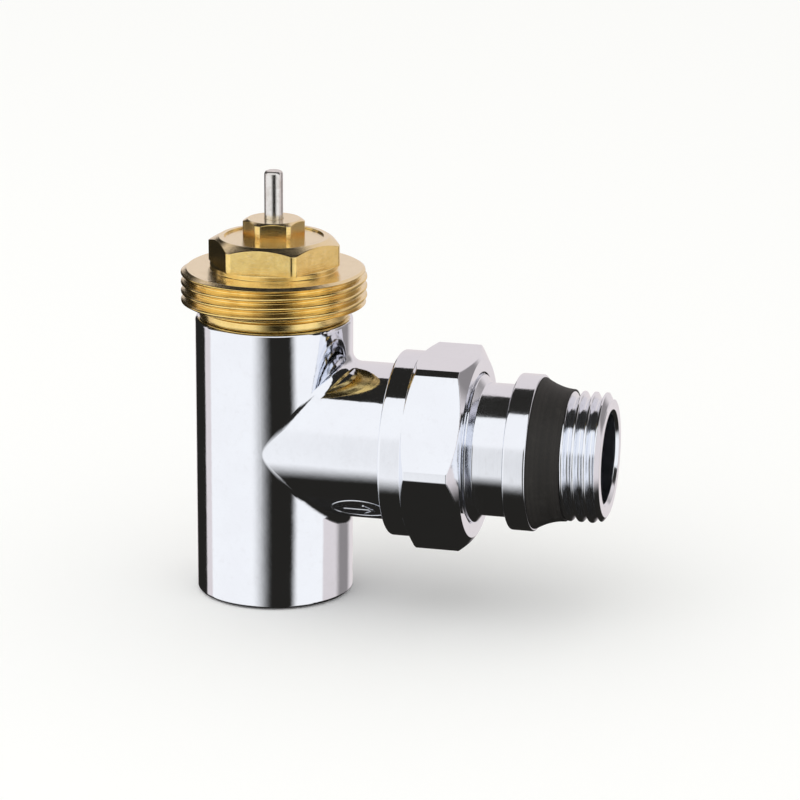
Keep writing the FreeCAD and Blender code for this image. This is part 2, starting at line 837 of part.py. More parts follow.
def union_nut(doc, size):
    """Chromed brass union nut: round skirt over the spigot's thread, hexagon, inner lip."""
    body = new_body(doc, "union_nut")
    height = size.branch_height
    start, hex_start, end = size.nut_start, size.nut_hex_start, size.nut_end
    skirt, edge, across = size.nut_skirt, size.union_edge, size.union_hex
    turn(body, "skirt", [
        (start, 0),
        (start, skirt - edge, edge, False),
        (start + edge, skirt),
        (hex_start, skirt),
        (hex_start, 0),
    ], height=height)
    hexagon(body, "spanner_hexagon", across, hex_start, end - hex_start, size.union_hex_angle,
            height=height)
    corner = across / 2 / COS30 - size.union_corner_break
    face = across / 2 - size.union_face_inset
    groove(body, "hexagon_trim", [
        (hex_start, skirt),
        (hex_start + (corner - skirt) * TAN30, corner),
        (end - (corner - face) * TAN30, corner),
        (end, face),
        (end, across),
        (hex_start, across),
    ], height=height)
    lip = size.collar_radius + size.running_gap
    groove(body, "bore", [
        (start, 0),
        (start, size.nut_bore + edge),
        (start + edge, size.nut_bore),
        (size.lip_start, size.nut_bore),
        (size.lip_start, lip),
        (end - edge, lip),
        (end, lip + edge),
        (end, 0),
    ], height=height)


def tailpiece(doc, size):
    """Chromed brass tailpiece: nose in the body's socket, collar, neck, flange, thread."""
    body = new_body(doc, "tailpiece")
    height = size.branch_height
    bore, nose, collar = size.tail_bore_radius, size.nose_radius, size.collar_radius
    flange, edge = size.flange_radius, size.tail_flange_edge
    crest, root, pitch = size.tail_crest, size.tail_root, size.pipe_pitch
    mouth = size.tail_mouth.up_to((root - bore) / 2)
    turns = whole_turns(size.tail_thread_length, pitch)
    last = size.tail_thread_start + pitch * float(turns)
    ring_root = nose - size.tail_ring_groove
    ring_low = size.tail_ring_place - size.tail_ring_room / 2
    ring_high = size.tail_ring_place + size.tail_ring_room / 2
    clip_root = collar - size.nut_ring_bite
    clip_low = size.nut_ring_low - size.groove_gap
    clip_high = size.nut_ring_high + size.groove_gap
    turn(body, "blank", [
        (size.nose_start, bore),
        (size.nose_start, nose - edge),
        (size.nose_start + edge, nose),
        (ring_low, nose),
        (ring_low, ring_root),
        (ring_high, ring_root),
        (ring_high, nose),
        (size.nose_end, nose),
        (size.nose_end, collar),
        (clip_low, collar),
        (clip_low, clip_root),
        (clip_high, clip_root),
        (clip_high, collar),
        (size.collar_end, collar),
        (size.neck_start, size.neck_of_tail),
        (size.flange_start, size.neck_of_tail),
        (size.flange_start, flange - edge, edge, False),
        (size.flange_start + edge, flange),
        (size.flange_end - edge, flange, edge, False),
        (size.flange_end, flange - edge),
        (size.flange_end, size.seal_seat),
        (size.seal_end, size.seal_seat),
        *flip(thread(root, crest, size.tail_thread_start, pitch, turns, **PIPE)),
        (last + pitch * (PIPE["flank"] / 2), (crest + root) / 2),
        (size.tail_end, root),
        (size.tail_end, bore + mouth),
        (size.tail_end - mouth, bore),
    ], height=height)
    inner = ring_root + size.ring_gap
    outer = size.socket_radius - size.ring_gap
    ring_seal(doc, "tailpiece_o_ring", (outer + inner) / 2, (outer - inner) / 2,
              size.tail_ring_place, height=height)


def nut_snap_ring(doc, size):
    """Wire ring in the collar's groove: the union nut's lip pulls against it."""
    inner = size.collar_radius - size.nut_ring_bite + size.ring_gap
    outer = size.nut_bore - size.nut_ring_clear
    ring = flip(rim(outer, inner, size.nut_ring_low, size.nut_ring_high))
    split_ring(doc, "nut_snap_ring", ring, size, height=size.branch_height)


def tail_seal(doc, size):
    """Rubber cone between the tailpiece's flange and its thread."""
    seal = new_body(doc, "tail_seal")
    seat = size.seal_seat + size.ring_gap
    turn(seal, "cone", [
        (size.flange_end, seat),
        (size.flange_end, size.flange_radius - size.seal_inset, size.seal_hollow, True),
        (size.seal_end, size.tail_crest + size.seal_lip),
        (size.seal_end, seat),
    ], height=size.branch_height)


NODES = [
    "valve_body", "valve_insert", "insert_o_ring", "gland_nut", "gland_washer",
    "gland_o_ring_lower", "gland_o_ring_upper", "spindle_pin", "valve_stem", "stem_o_ring",
    "stem_clip", "spring_plate", "return_spring", "guide_bush", "bush_circlip", "disc_holder",
    "sealing_disc", "disc_washer", "disc_nut", "union_nut", "nut_snap_ring", "tailpiece",
    "tailpiece_o_ring", "tail_seal",
]


def check(doc):
    """Stop on any failed object and on any piece that isn't one sound solid."""
    bad = [o.Name for o in doc.Objects if {"Invalid", "Error"} & set(o.State)]
    for node in NODES:
        shape = doc.getObjectsByLabel(node)[0].Shape
        if shape.isNull() or not shape.isValid() or len(shape.Solids) != 1:
            bad.append(node)
    if bad:
        sys.exit("failed objects: " + ", ".join(bad))


def main():
    doc = FreeCAD.newDocument("radiator_valve")
    size = Sheet(doc)
    valve_body(doc, size)
    valve_insert(doc, size)
    insert_seal(doc, size)
    gland_nut(doc, size)
    gland_seals(doc, size)
    spindle_pin(doc, size)
    valve_stem(doc, size)
    stem_parts(doc, size)
    return_spring(doc, size)
    valve_disc(doc, size)
    union_nut(doc, size)
    tailpiece(doc, size)
    nut_snap_ring(doc, size)
    tail_seal(doc, size)
    doc.recompute()
    check(doc)
    os.makedirs("parts", exist_ok=True)
    for node in NODES:
        shape = doc.getObjectsByLabel(node)[0].Shape
        shape.exportStep(f"parts/{node}.step")
        print(f"{node:20s} {shape.Volume:10.2f} mm3")


main()
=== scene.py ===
import json
import math

import bmesh
import bpy
import numpy as np
from mathutils import Matrix, Vector


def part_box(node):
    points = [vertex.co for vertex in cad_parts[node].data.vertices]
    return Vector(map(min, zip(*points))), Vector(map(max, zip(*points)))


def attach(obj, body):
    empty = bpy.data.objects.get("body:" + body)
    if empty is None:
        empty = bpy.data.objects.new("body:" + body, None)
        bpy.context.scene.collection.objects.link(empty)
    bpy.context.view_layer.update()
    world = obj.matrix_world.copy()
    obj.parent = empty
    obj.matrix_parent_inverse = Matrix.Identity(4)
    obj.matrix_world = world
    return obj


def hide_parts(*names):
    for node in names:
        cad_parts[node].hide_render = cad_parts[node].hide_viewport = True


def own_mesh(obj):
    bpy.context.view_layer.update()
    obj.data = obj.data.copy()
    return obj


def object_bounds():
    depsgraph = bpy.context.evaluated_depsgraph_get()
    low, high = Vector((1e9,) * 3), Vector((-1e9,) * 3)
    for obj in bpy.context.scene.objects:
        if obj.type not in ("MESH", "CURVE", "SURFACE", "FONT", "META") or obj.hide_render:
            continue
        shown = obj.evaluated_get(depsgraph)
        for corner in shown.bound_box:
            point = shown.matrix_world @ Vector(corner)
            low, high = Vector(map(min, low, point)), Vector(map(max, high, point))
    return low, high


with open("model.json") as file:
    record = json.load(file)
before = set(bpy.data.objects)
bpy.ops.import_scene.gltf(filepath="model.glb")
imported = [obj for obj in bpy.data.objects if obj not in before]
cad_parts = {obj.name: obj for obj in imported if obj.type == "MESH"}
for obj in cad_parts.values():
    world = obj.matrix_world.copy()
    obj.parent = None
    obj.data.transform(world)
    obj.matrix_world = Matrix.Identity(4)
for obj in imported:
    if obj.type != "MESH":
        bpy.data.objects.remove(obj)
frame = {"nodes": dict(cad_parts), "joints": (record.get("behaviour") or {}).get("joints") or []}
cad_low, cad_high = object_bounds()

MM = 0.001
TAN30 = math.tan(math.radians(30))

ARC_POINTS = 6
CORNER_SHARE = 0.45  # how much of an edge a corner may take
STRAIGHT = 1.55  # half the angle between two edges, in radians, taken as one line
SUPPORT = 0.07  # edge kept flat beside an arc, in mm
SUNK = 0.06  # how deep a raised line starts below its surface, in mm


# ---------------------------------------------------------------- meshes

def trace(corners, step, closed=True):
    """Points (along, radius) in mm round a profile, with each corner's fillet as an arc."""
    points = []
    count = len(corners)
    for i, (along, radius, fillet) in enumerate(corners):
        here = np.array((along, radius), float)
        if not closed and i in (0, count - 1):
            points.append([here])
            continue
        before = np.array(corners[i - 1][:2], float) - here
        after = np.array(corners[(i + 1) % count][:2], float) - here
        room = min(np.linalg.norm(before), np.linalg.norm(after)) * CORNER_SHARE
        before, after = before / np.linalg.norm(before), after / np.linalg.norm(after)
        half = math.acos(float(np.clip(before @ after, -1, 1))) / 2
        cut = min(fillet / math.tan(half), room) if half < STRAIGHT else 0
        if cut < 1e-6:
            points.append([here])
            continue
        start, end = here + before * cut, here + after * cut
        arc = [(1 - t) ** 2 * start + 2 * t * (1 - t) * here + t ** 2 * end
               for t in np.linspace(0, 1, ARC_POINTS)]
        support = min(SUPPORT, cut * 0.8, room) * 0.9
        points.append([start + before * support, *arc, end + after * support])
    path = []
    for i, group in enumerate(points):
        path += group
        if i == count - 1 and not closed:
            break
        gap = points[(i + 1) % count][0] - group[-1]
        extra = int(np.linalg.norm(gap) / step)
        path += [group[-1] + gap * (k + 1) / (extra + 1) for k in range(extra)]
    return np.array(path)


def soft_min(a, b, blend):
    """The smaller of two, with the crease between them rounded over blend."""
    share = np.clip(0.5 + 0.5 * (b - a) / blend, 0, 1)
    return b * (1 - share) + a * share - blend * share * (1 - share)


def hexagon(across, corner_degrees, angle, edge=0.12):
    """Radius of a hexagon at each angle, its corners eased."""
    flat = across / 2
    turn = np.radians(corner_degrees + 30)
    sides = [flat / np.maximum(np.cos(angle - turn - k * math.pi / 3), 0.05) for k in range(6)]
    radius = sides[0]
    for side in sides[1:]:
        radius = soft_min(radius, side, edge)
    return radius


def thread_depth(along, angle, start, pitch):
    """Share of the thread's depth cut away: 0 on a crest, 1 in a root, for a right-hand helix."""
    phase = (along - start) / pitch - angle / (2 * math.pi)
    wave = np.abs(2 * (phase - np.floor(phase)) - 1)
    cut = np.clip((wave - 0.14) / 0.74, 0, 1)
    return cut * 0.75 + cut * cut * (3 - 2 * cut) * 0.25


def lathe(name, path, slices, axis="z", height=0.0, shape=None, closed=True):
    """A turned mesh. shape(along, radius, angle) may pull the radius in."""
    angle = np.linspace(0, 2 * math.pi, slices, endpoint=False)
    along = np.broadcast_to(path[None, :, 0], (slices, len(path)))
    radius = np.broadcast_to(path[None, :, 1], (slices, len(path))).copy()
    turn = np.broadcast_to(angle[:, None], radius.shape)
    if shape:
        radius = shape(along, radius, turn)
    across, up = radius * np.cos(turn), radius * np.sin(turn)
    if axis == "z":
        place = np.stack((across, up, along), -1)
    else:
        place = np.stack((along, across, up + height), -1)
    rows = len(path) if closed else len(path) - 1
    first = np.arange(slices)[:, None] * len(path) + np.arange(rows)[None, :]
    other = (np.arange(slices)[:, None] + 1) % slices * len(path) + np.arange(rows)[None, :]
    step = (np.arange(rows) + 1) % len(path) - np.arange(rows)
    faces = np.stack((first, first + step, other + step, other), -1).reshape(-1, 4)
    mesh = bpy.data.meshes.new(name)
    mesh.from_pydata((place.reshape(-1, 3) * MM).tolist(), [], faces.tolist())
    return finished(name, mesh, weld=not closed)


def finished(name, mesh, weld=False):
    """An object in the scene from a mesh: welded where asked, faces outward, smooth."""
    work = bmesh.new()
    work.from_mesh(mesh)
    if weld:
        bmesh.ops.remove_doubles(work, verts=work.verts, dist=1e-7)
    bmesh.ops.recalc_face_normals(work, faces=work.faces)
    work.to_mesh(mesh)
    work.free()
    mesh.polygons.foreach_set("use_smooth", [True] * len(mesh.polygons))
    made = bpy.data.objects.new(name, mesh)
    bpy.context.scene.collection.objects.link(made)
    return made


def ridge(name, line, closed, width, rise, radius, height):
    """A raised line on a cylinder along X. line holds (along, arc) points in mm."""
    line = np.array(line, float)
    count = len(line)
    if closed:
        ahead = np.roll(line, -1, 0) - np.roll(line, 1, 0)
    else:
        ahead = np.gradient(line, axis=0)
    ahead /= np.linalg.norm(ahead, axis=1)[:, None]
    side = np.stack((-ahead[:, 1], ahead[:, 0]), -1)
    profile = [(-1.0, -SUNK), (-0.86, rise * 0.45), (-0.55, rise * 0.9), (0.0, rise),
               (0.55, rise * 0.9), (0.86, rise * 0.45), (1.0, -SUNK)]
    places = []
    for i in range(count):
        for across, lift in profile:
            along, arc = line[i] + side[i] * across * width / 2
            turn = arc / radius
            reach = radius + lift
            places.append((along, -reach * math.cos(turn), height - reach * math.sin(turn)))
    wide = len(profile)
    faces = []
    for i in range(count if closed else count - 1):
        j = (i + 1) % count
        for k in range(wide):
            m = (k + 1) % wide
            faces.append((i * wide + k, i * wide + m, j * wide + m, j * wide + k))
    if not closed:
        faces.append(tuple(range(wide)))
        faces.append(tuple((count - 1) * wide + k for k in range(wide)))
    mesh = bpy.data.meshes.new(name)
    mesh.from_pydata([(x * MM, y * MM, z * MM) for x, y, z in places], [], faces)
    return finished(name, mesh)


# ---------------------------------------------------------------- shader arithmetic

class Signal:
    """A shader socket that takes part in arithmetic."""

    def __init__(self, graph, socket):
        self.graph = graph
        self.socket = socket

    def math(self, kind, other=None, swap=False):
        first, second = (other, self) if swap else (self, other)
        feeds = {0: first} if second is None else {0: first, 1: second}
        return self.graph.node("ShaderNodeMath", {"operation": kind}, feeds)

    def __add__(self, other):
        return self.math("ADD", other)

    def __radd__(self, other):
        return self.math("ADD", other, swap=True)

    def __sub__(self, other):
        return self.math("SUBTRACT", other)

    def __rsub__(self, other):
        return self.math("SUBTRACT", other, swap=True)

    def __mul__(self, other):
        return self.math("MULTIPLY", other)

    def __rmul__(self, other):
        return self.math("MULTIPLY", other, swap=True)

    def __truediv__(self, other):
        return self.math("DIVIDE", other)

    def __rtruediv__(self, other):
        return self.math("DIVIDE", other, swap=True)

    def rise(self, low, high):
        """0 below low, 1 above high, smooth between. low above high turns it round."""
        flip = low > high
        low, high = min(low, high), max(low, high)
        feeds = {0: self, 1: low, 2: high, 3: 1.0 if flip else 0.0, 4: 0.0 if flip else 1.0}
        return self.graph.node("ShaderNodeMapRange", {"interpolation_type": "SMOOTHSTEP"}, feeds)

    def band(self, low, high, soft):
        """1 between low and high, falling to 0 over soft on each side."""
        return self.rise(low - soft, low) * self.rise(high + soft, high)


class Graph:
    """The nodes of one material or world."""

    def __init__(self, tree):
        self.tree = tree
        tree.nodes.clear()

    def node(self, kind, settings=None, feeds=None, out=0):
        made = self.tree.nodes.new(kind)
        for name, value in (settings or {}).items():
            setattr(made, name, value)
        for key, value in (feeds or {}).items():
            if isinstance(value, Signal):
                self.tree.links.new(value.socket, made.inputs[key])
            else:
                made.inputs[key].default_value = value
        return Signal(self, made.outputs[out]) if len(made.outputs) else None

    def split(self, vector):
        made = self.node("ShaderNodeSeparateXYZ", None, {0: vector})
        return [Signal(self, s) for s in made.socket.node.outputs]

    def joined(self, x, y, z):
        return self.node("ShaderNodeCombineXYZ", None, {0: x, 1: y, 2: z})

    def place(self):
        """Position in the part's frame, in mm."""
        spot = self.node("ShaderNodeTexCoord", None, None, out="Object")
        return self.node("ShaderNodeVectorMath", {"operation": "SCALE"}, {0: spot, "Scale": 1 / MM})

    def noise(self, vector, scale, detail=3.0, rough=0.55):
        feeds = {"Vector": vector, "Scale": scale, "Detail": detail, "Roughness": rough}
        return self.node("ShaderNodeTexNoise", None, feeds)

    def mix(self, factor, first, second):
        return self.node("ShaderNodeMix", {"data_type": "RGBA"}, {0: factor, 6: first, 7: second},
                         out=2)

    def bump(self, height, distance, strength=1.0):
        feeds = {"Height": height, "Distance": distance, "Strength": strength}
        return self.node("ShaderNodeBump", None, feeds)


def rgb(red, green, blue):
    return (red, green, blue, 1.0)


def around(graph, spot, axis, height=0.0):
    """(along, out) for a point in mm: its place along the axis and its distance from it."""
    x, y, z = graph.split(spot)
    along, across, up = (z, x, y) if axis == "z" else (x, y, z - height)
    return along, (across * across + up * up).math("SQRT")


def material(name):
    made = bpy.data.materials.new(name)
    made.use_nodes = True
    return made, Graph(made.node_tree)


def surface(graph, feeds):
    shader = graph.node("ShaderNodeBsdfPrincipled", None, feeds)
    graph.node("ShaderNodeOutputMaterial", None, {"Surface": shader})


def plated(name, axis, height, marks, roughness=0.045, spread=0.035):
    """Bright chrome plate: faint haze, polishing ripple, wipe marks and turning marks."""
    made, graph = material(name)
    spot = graph.place()
    along, out = around(graph, spot, axis, height)
    haze = graph.noise(spot, 0.16, 4.0)
    smear = graph.noise(spot, 0.9, 5.0, 0.62)
    pits = graph.noise(spot, 5.5, 2.0).rise(0.72, 0.8)
    rings = graph.noise(graph.joined(along, out, 0.0), 5.0, 4.0, 0.7)
    base = graph.mix(haze.rise(0.3, 0.72), rgb(0.865, 0.885, 0.94), rgb(0.885, 0.91, 0.965))
    base = graph.mix(smear.rise(0.52, 0.78) * 0.35, base, rgb(0.80, 0.81, 0.85))
    base = graph.mix(pits * 0.25, base, rgb(0.42, 0.41, 0.42))
    rough = roughness + haze.rise(0.35, 0.75) * spread + smear.rise(0.5, 0.8) * spread * 0.8
    rough = rough + rings * marks * 0.05
    ripple = haze * 0.5 + smear * 0.04 + rings * marks * 0.04 - pits * 0.03
    surface(graph, {"Base Color": base, "Metallic": 1.0, "Roughness": rough,
                    "Normal": graph.bump(ripple, 0.00006)})
    return made


def turned_brass(name, axis, height, colour, pale, roughness=0.2, marks=1.0):
    """Turned brass: rings from the tool, a painted highlight that makes it paler where it faces up,
    stained in patches.
    """
    made, graph = material(name)
    spot = graph.place()
    along, out = around(graph, spot, axis, height)
    rings = graph.noise(graph.joined(along, out, 0.0), 4.2, 5.0, 0.75)
    fine = graph.noise(graph.joined(along, out, 7.0), 17.0, 3.0, 0.6)
    stain = graph.noise(spot, 0.42, 5.0, 0.6)
    speck = graph.noise(spot, 3.4, 3.0).rise(0.66, 0.78)
    # painted highlight: faces that point up are mixed towards the pale colour in place of the
    # overhead reflection
    top_sheen_normal = graph.node("ShaderNodeNewGeometry", None, None, out="Normal")
    up = graph.split(top_sheen_normal)[2].rise(0.6, 0.98)
    deep = rgb(colour[0] * 0.86, colour[1] * 0.80, colour[2] * 0.66)
    base = graph.mix(stain.rise(0.35, 0.75), rgb(*colour), deep)
    base = graph.mix(rings.rise(0.45, 0.75) * 0.4, base, rgb(*pale))
    base = graph.mix(up * 0.8, base, rgb(*pale))
    base = graph.mix(speck * 0.35, base, rgb(0.36, 0.24, 0.11))
    rough = roughness + rings * 0.08 + stain.rise(0.4, 0.8) * 0.07
    cut = rings * 0.7 * marks + fine * 0.3 * marks + stain * 0.15
    surface(graph, {"Base Color": base, "Metallic": 1.0, "Roughness": rough,
                    "Normal": graph.bump(cut, 0.00003)})
    return made


def drawn_steel(name, colour, roughness=0.2):
    """Steel drawn along its length: long fine lines and a slight heat tint."""
    made, graph = material(name)
    spot = graph.place()
    x, y, z = graph.split(spot)
    lines = graph.noise(graph.joined(x * 6.0, y * 6.0, z * 0.25), 2.2, 4.0, 0.65)
    cloud = graph.noise(spot, 0.8, 4.0)
    base = graph.mix(cloud.rise(0.35, 0.7), rgb(*colour),
                     rgb(colour[0] * 0.86, colour[1] * 0.84, colour[2] * 0.82))
    base = graph.mix(lines.rise(0.55, 0.8) * 0.3, base, rgb(0.9, 0.89, 0.88))
    rough = roughness + lines * 0.09 + cloud.rise(0.4, 0.8) * 0.06
    surface(graph, {"Base Color": base, "Metallic": 1.0, "Roughness": rough,
                    "Normal": graph.bump(lines * 0.6 + cloud * 0.4, 0.00002)})
    return made


def rubber(name, axis, height, colour, dusty, roughness=0.55):
    """Moulded rubber: fine grain, faint flow lines round it and dust in patches."""
    made, graph = material(name)
    spot = graph.place()
    along, out = around(graph, spot, axis, height)
    flow = graph.noise(graph.joined(along * 1.4, out * 1.4, 0.0), 2.0, 4.0, 0.6)
    grain = graph.noise(spot, 9.0, 4.0, 0.7)
    dust = graph.noise(spot, 0.7, 5.0, 0.62).rise(0.5, 0.78)
    base = graph.mix(flow.rise(0.35, 0.75), rgb(*colour),
                     rgb(colour[0] * 1.5, colour[1] * 1.45, colour[2] * 1.4))
    base = graph.mix(dust * 0.4, base, rgb(*dusty))
    rough = roughness + grain * 0.12 + dust * 0.1
    surface(graph, {"Base Color": base, "Roughness": rough, "Specular IOR Level": 0.42,
                    "Normal": graph.bump(grain * 0.5 + flow * 0.6, 0.00005)})
    return made


# ---------------------------------------------------------------- places on the frame

nut_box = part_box("union_nut")
tail_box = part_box("tailpiece")
seal_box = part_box("tail_seal")
insert_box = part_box("valve_insert")
gland_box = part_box("gland_nut")
pin_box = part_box("spindle_pin")
bore_height = (nut_box[0].z + nut_box[1].z) / 2 / MM

chrome_body = plated("chrome_body", "z", 0.0, 0.15)
chrome_cast = plated("chrome_cast", "z", 0.0, 0.4, roughness=0.2)
chrome_nut = plated("chrome_nut", "x", bore_height, 0.3, roughness=0.035)
chrome_tail = plated("chrome_tail", "x", bore_height, 1.4, roughness=0.06, spread=0.05)
brass = turned_brass("brass_insert", "z", 0.0, (0.97, 0.72, 0.27), (0.95, 0.82, 0.58), 0.12)
brass_gland = turned_brass("brass_gland", "z", 0.0, (0.96, 0.71, 0.28), (0.94, 0.81, 0.56), 0.08)
brass_inner = turned_brass("brass_inner", "z", 0.0, (0.84, 0.60, 0.28), (0.88, 0.72, 0.46), 0.28)
pin_steel = drawn_steel("pin_steel", (0.80, 0.78, 0.76), 0.14)
spring_steel = drawn_steel("spring_wire", (0.62, 0.61, 0.60), 0.24)
seal_black = rubber("tail_rubber", "x", bore_height, (0.017, 0.0155, 0.014), (0.045, 0.041, 0.036))
ring_rubber = rubber("ring_rubber", "z", 0.0, (0.020, 0.020, 0.020), (0.05, 0.05, 0.05), 0.42)

NODE_FINISH = {
    "valve_body": chrome_body, "valve_stem": brass_inner, "gland_washer": brass_inner,
    "guide_bush": brass_inner, "spring_plate": brass_inner, "disc_holder": brass_inner,
    "disc_washer": brass_inner, "disc_nut": brass_inner, "stem_clip": spring_steel,
    "bush_circlip": spring_steel, "nut_snap_ring": spring_steel, "sealing_disc": ring_rubber,
    "stem_o_ring": ring_rubber, "insert_o_ring": ring_rubber, "tailpiece_o_ring": ring_rubber,
    "gland_o_ring_lower": ring_rubber, "gland_o_ring_upper": ring_rubber,
}
for node, finish in NODE_FINISH.items():
    mesh = frame["nodes"][node].data
    mesh.materials.clear()
    mesh.materials.append(finish)


def fit(piece, body, slot, finish, *nodes):
    """Give a piece its finish and let it ride on its body in place of CAD nodes."""
    piece.data.materials.append(finish)
    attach(piece, body)
    if nodes:
        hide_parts(*nodes)
    return piece


# ---------------------------------------------------------------- union nut

NUT_ACROSS = 30.0
NUT_CORNER_ANGLE = 1.3
NUT_CORNER = 16.9
NUT_FACE = 14.4
NUT_SKIRT = 15.03
NUT_SKIRT_LENGTH = 3.6
NUT_BORE = 13.3
NUT_LIP = 11.95
NUT_LIP_LENGTH = 2.05
NUT_CHAMFER = 0.4
nut_start, nut_end = nut_box[0].x / MM, nut_box[1].x / MM
nut_hex = nut_start + NUT_SKIRT_LENGTH
nut_lip = nut_end - NUT_LIP_LENGTH


def nut_shape(along, radius, angle):
    outer = (along > nut_hex - 0.05) & (radius > NUT_BORE + 0.6)
    hexed = soft_min(radius, hexagon(NUT_ACROSS, NUT_CORNER_ANGLE, angle, 0.14), 0.10)
    return np.where(outer, hexed, radius)


nut_path = trace([
    (nut_start, NUT_BORE + NUT_CHAMFER, 0.08),
    (nut_start, NUT_SKIRT, 0.42),
    (nut_hex, NUT_SKIRT, 0.10),
    (nut_hex + (NUT_CORNER - NUT_SKIRT) * TAN30, NUT_CORNER, 0.16),
    (nut_end - (NUT_CORNER - NUT_FACE) * TAN30, NUT_CORNER, 0.16),
    (nut_end, NUT_FACE, 0.16),
    (nut_end, NUT_LIP + NUT_CHAMFER, 0.10),
    (nut_end - NUT_CHAMFER, NUT_LIP, 0.08),
    (nut_lip, NUT_LIP, 0.08),
    (nut_lip, NUT_BORE, 0.08),
    (nut_start + NUT_CHAMFER, NUT_BORE, 0.08),
], 0.16)
nut = lathe("union_nut_piece", nut_path, 600, "x", bore_height, nut_shape)
fit(nut, "nut", "chrome", chrome_nut, "union_nut")

# ---------------------------------------------------------------- tailpiece

TAIL_CREST = 10.4775
TAIL_ROOT = 9.316
TAIL_PITCH = 1.814
TAIL_BORE = 7.35
TAIL_MOUTH = 0.5
TAIL_NOSE = 9.4
TAIL_NOSE_LENGTH = 5.85
TAIL_RING_GROOVE = 8.25
TAIL_COLLAR = 11.9
TAIL_CLIP_GROOVE = 11.2
TAIL_NECK = 10.7
TAIL_NECK_LENGTH = 5.2
TAIL_COLLAR_CONE = 0.9
TAIL_FLANGE = 12.6
TAIL_FLANGE_WIDTH = 3.7
TAIL_FLANGE_FROM_END = 15.0
TAIL_SEAL_SEAT = 9.3
TAIL_THREAD_LENGTH = 6.25
tail_start, tail_end = tail_box[0].x / MM, tail_box[1].x / MM
flange_start = tail_end - TAIL_FLANGE_FROM_END
flange_end = flange_start + TAIL_FLANGE_WIDTH
thread_start = tail_end - TAIL_THREAD_LENGTH
neck_start = flange_start - TAIL_NECK_LENGTH
nose_end = tail_start + TAIL_NOSE_LENGTH
ring_low, ring_high = tail_start + 2.25, tail_start + 3.95
clip_low, clip_high = nut_end - 3.1, nut_end - 2.1


def tail_shape(along, radius, angle):
    threaded = (along > thread_start - 0.01) & (radius > TAIL_ROOT - 0.3)
    cut = thread_depth(along, angle, thread_start + 0.25, TAIL_PITCH)
    grooved = TAIL_CREST - (TAIL_CREST - TAIL_ROOT) * cut
    return np.where(threaded, soft_min(radius, grooved, 0.06), radius)


tail_path = trace([
    (tail_start, TAIL_BORE, 0.1), (tail_start, TAIL_NOSE, 0.35),
    (ring_low, TAIL_NOSE, 0.06), (ring_low, TAIL_RING_GROOVE, 0.06),
    (ring_high, TAIL_RING_GROOVE, 0.06), (ring_high, TAIL_NOSE, 0.06),
    (nose_end, TAIL_NOSE, 0.06), (nose_end, TAIL_COLLAR, 0.12),
    (clip_low, TAIL_COLLAR, 0.06), (clip_low, TAIL_CLIP_GROOVE, 0.06),
    (clip_high, TAIL_CLIP_GROOVE, 0.06), (clip_high, TAIL_COLLAR, 0.06),
    (neck_start - TAIL_COLLAR_CONE, TAIL_COLLAR, 0.14), (neck_start, TAIL_NECK, 0.25),
    (flange_start, TAIL_NECK, 0.22), (flange_start, TAIL_FLANGE, 0.35),
    (flange_end, TAIL_FLANGE, 0.35), (flange_end, TAIL_SEAL_SEAT, 0.05),
    (thread_start - 0.05, TAIL_SEAL_SEAT, 0.02), (thread_start, TAIL_CREST, 0.05),
    (tail_end - 0.7, TAIL_CREST, 0.15), (tail_end, 9.45, 0.12),
    (tail_end, TAIL_BORE + TAIL_MOUTH, 0.1), (tail_end - TAIL_MOUTH, TAIL_BORE, 0.1),
], 0.11)
tail = lathe("tailpiece_piece", tail_path, 360, "x", bore_height, tail_shape)
fit(tail, "tail", "chrome", chrome_tail, "tailpiece")

# ---------------------------------------------------------------- rubber cone on the tail

seal_start, seal_end = seal_box[0].x / MM, seal_box[1].x / MM
seal_seat = TAIL_SEAL_SEAT + 0.02
seal_wide, seal_narrow = 12.25, 10.6
SEAL_HOLLOW = 0.393
seal_corners = [(seal_start, seal_seat, 0.05), (seal_start, seal_wide, 0.12)]
for share in np.linspace(0.12, 0.88, 8):
    sag = SEAL_HOLLOW * 4 * share * (1 - share)
    seal_corners.append((seal_start + (seal_end - seal_start) * share,
                         seal_wide + (seal_narrow - seal_wide) * share - sag, 0.3))
seal_corners += [(seal_end, seal_narrow, 0.10), (seal_end, seal_seat, 0.05)]
seal = lathe("tail_seal_piece", trace(seal_corners, 0.25), 256, "x", bore_height)
fit(seal, "tail", "black_rubber", seal_black, "tail_seal")

# ---------------------------------------------------------------- brass insert

HEAD_CREST = 15.0
HEAD_ROOT = 14.08
HEAD_PITCH = 1.5
HEAD_LEAD = 0.75
INSERT_ACROSS = 19.0
INSERT_CORNER_ANGLE = 2.9
INSERT_CORNER = 10.75
INSERT_FACE = 8.8
INSERT_BOSS = 10.3
DISH_RADIUS = 8.0
DISH_DEPTH = 0.3
SHOULDER = 12.1
SHOULDER_HEIGHT = 1.55
RELIEF = 11.55
FLANGE_FROM_TOP = (10.85, 5.1)
HEX_FROM_TOP = 4.4
GLAND_WELL = 3.6
GLAND_WELL_DEPTH = 4.3
STEM_BORE = 2.55
CHAMBER = 6.2
CHAMBER_FROM_TOP = 11.4
CLIP_GROOVE = 6.7
STUB = 9.5
STUB_LENGTH = 1.8
PLUG = 10.1
PLUG_NECK = 9.9
PLUG_NECK_LENGTH = 1.85
PLUG_LENGTH = 11.55
insert_low, insert_top = insert_box[0].z / MM, insert_box[1].z / MM
flange_low, flange_top = (insert_top - drop for drop in FLANGE_FROM_TOP)
hex_low = insert_top - HEX_FROM_TOP
gland_floor = insert_top - GLAND_WELL_DEPTH
body_top = insert_low + PLUG_LENGTH
stub_top = insert_low + STUB_LENGTH
plug_top = body_top - PLUG_NECK_LENGTH
chamber_top = insert_top - CHAMBER_FROM_TOP
shoulder_top = body_top + SHOULDER_HEIGHT
dish_floor = insert_top - DISH_DEPTH


